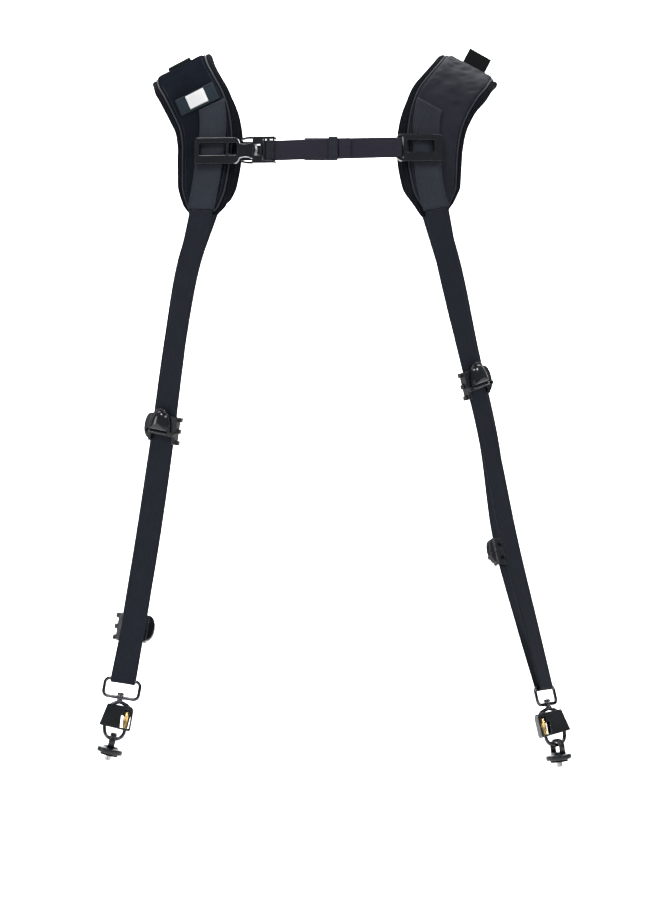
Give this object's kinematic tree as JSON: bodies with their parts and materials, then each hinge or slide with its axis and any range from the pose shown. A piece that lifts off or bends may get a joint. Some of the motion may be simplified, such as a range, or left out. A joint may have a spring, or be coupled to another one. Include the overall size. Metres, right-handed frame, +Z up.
{
  "type": "dual camera harness",
  "caption": "Worn harness of padded shoulder straps, chest and back straps, and long webbing loops ending in swivel hooks with screw fasteners that carry cameras at the hips.",
  "frame": {"origin": "midway between the two pads at the height of their crests, where the harness lies on the wearer's shoulders", "axes": "+Z up, -Y towards the front of the wearer, +X towards the wearer's left, the right of the picture"},
  "size_m": [0.4783, 0.2779, 0.7323],
  "materials": {
    "webbing": "ribbed nylon webbing",
    "chest_webbing": "ribbed nylon webbing",
    "pad_panel": "woven nylon",
    "pad_mesh": "open air mesh",
    "band": "ribbed nylon webbing",
    "label": "plain woven label",
    "plastic": "satin moulded",
    "gloss_plastic": "gloss moulded",
    "rubber": "matt",
    "dark_steel": "black nickel",
    "stud_steel": "machined",
    "brass": "polished"
  },
  "bodies": {
    "root": {"pad_left": "pad_mesh", "pad_panel_left": "pad_panel", "pad_webbing_front_left": "webbing", "pad_webbing_rear_left": "webbing", "strap_left": "webbing", "stop_front_left": "plastic", "stop_rear_left": "plastic", "ring_left": "dark_steel", "pad_right": "pad_mesh", "pad_panel_right": "pad_panel", "pad_webbing_front_right": "webbing", "pad_webbing_rear_right": "webbing", "strap_right": "webbing", "stop_front_right": "plastic", "stop_rear_right": "plastic", "ring_right": "dark_steel", "cross_band": "band", "label": "label", "chest_frame_left": "plastic", "chest_plug": "plastic", "chest_frame_right": "plastic", "chest_webbing": "chest_webbing", "chest_keeper": "webbing", "back_strap": "webbing", "back_slider": "plastic"},
    "hook_left": {"hook_left": "dark_steel", "hook_cover_left": "plastic"},
    "gate_left": {"gate_left": "dark_steel", "gate_sleeve_left": "brass"},
    "fastener_left": {"fastener_left": "plastic", "fastener_washer_left": "rubber", "fastener_stud_left": "stud_steel"},
    "hook_right": {"hook_right": "dark_steel", "hook_cover_right": "plastic"},
    "gate_right": {"gate_right": "dark_steel", "gate_sleeve_right": "brass"},
    "fastener_right": {"fastener_right": "plastic", "fastener_washer_right": "rubber", "fastener_stud_right": "stud_steel"},
    "stop_front_left_lever": {"stop_front_left_lever": "gloss_plastic"},
    "stop_rear_left_lever": {"stop_rear_left_lever": "gloss_plastic"},
    "stop_front_right_lever": {"stop_front_right_lever": "gloss_plastic"},
    "stop_rear_right_lever": {"stop_rear_right_lever": "gloss_plastic"}
  },
  "joints": [
    {"name": "hook_swivel_left", "type": "hinge", "parent": "root", "child": "hook_left", "pos_m": [-0.20306, -0.06211, -0.63661], "axis": [0.1698, 0.1171, 0.9785], "continuous": true},
    {"name": "gate_hinge_left", "type": "hinge", "parent": "hook_left", "child": "gate_left", "pos_m": [-0.19523, -0.06371, -0.64999], "axis": [0, 0.9929, -0.1188], "range_deg": [0, 20], "stiffness_Nm_per_rad": 0.02, "springref_deg": -17.19},
    {"name": "fastener_swing_left", "type": "hinge", "parent": "hook_left", "child": "fastener_left", "pos_m": [-0.21021, -0.06703, -0.67781], "axis": [0.9855, -0.0202, -0.1686], "range_deg": [-45, 45]},
    {"name": "hook_swivel_right", "type": "hinge", "parent": "root", "child": "hook_right", "pos_m": [0.22801, -0.06206, -0.64324], "axis": [-0.2229, 0.1146, 0.9681], "continuous": true},
    {"name": "gate_hinge_right", "type": "hinge", "parent": "hook_right", "child": "gate_right", "pos_m": [0.22141, -0.06678, -0.65654], "axis": [0.3039, -0.9354, 0.1807], "range_deg": [0, 20], "stiffness_Nm_per_rad": 0.02, "springref_deg": -17.19},
    {"name": "fastener_swing_right", "type": "hinge", "parent": "hook_right", "child": "fastener_right", "pos_m": [0.23739, -0.06689, -0.68399], "axis": [-0.9263, -0.3345, -0.1737], "range_deg": [-45, 45]},
    {"name": "stop_front_left_lever_hinge", "type": "hinge", "parent": "root", "child": "stop_front_left_lever", "pos_m": [-0.16089, -0.09389, -0.36975], "axis": [0.8572, -0.4843, -0.1751], "range_deg": [0, 75]},
    {"name": "stop_rear_left_lever_hinge", "type": "hinge", "parent": "root", "child": "stop_rear_left_lever", "pos_m": [-0.19118, -0.03519, -0.57304], "axis": [-0.9831, 0.1554, 0.0965], "range_deg": [0, 75]},
    {"name": "stop_front_right_lever_hinge", "type": "hinge", "parent": "root", "child": "stop_front_right_lever", "pos_m": [0.15837, -0.09778, -0.32322], "axis": [0.6899, 0.6815, 0.2441], "range_deg": [0, 75]},
    {"name": "stop_rear_right_lever_hinge", "type": "hinge", "parent": "root", "child": "stop_rear_right_lever", "pos_m": [0.18471, -0.0085, -0.49773], "axis": [-0.7822, -0.6201, 0.0599], "range_deg": [0, 75]}
  ]
}
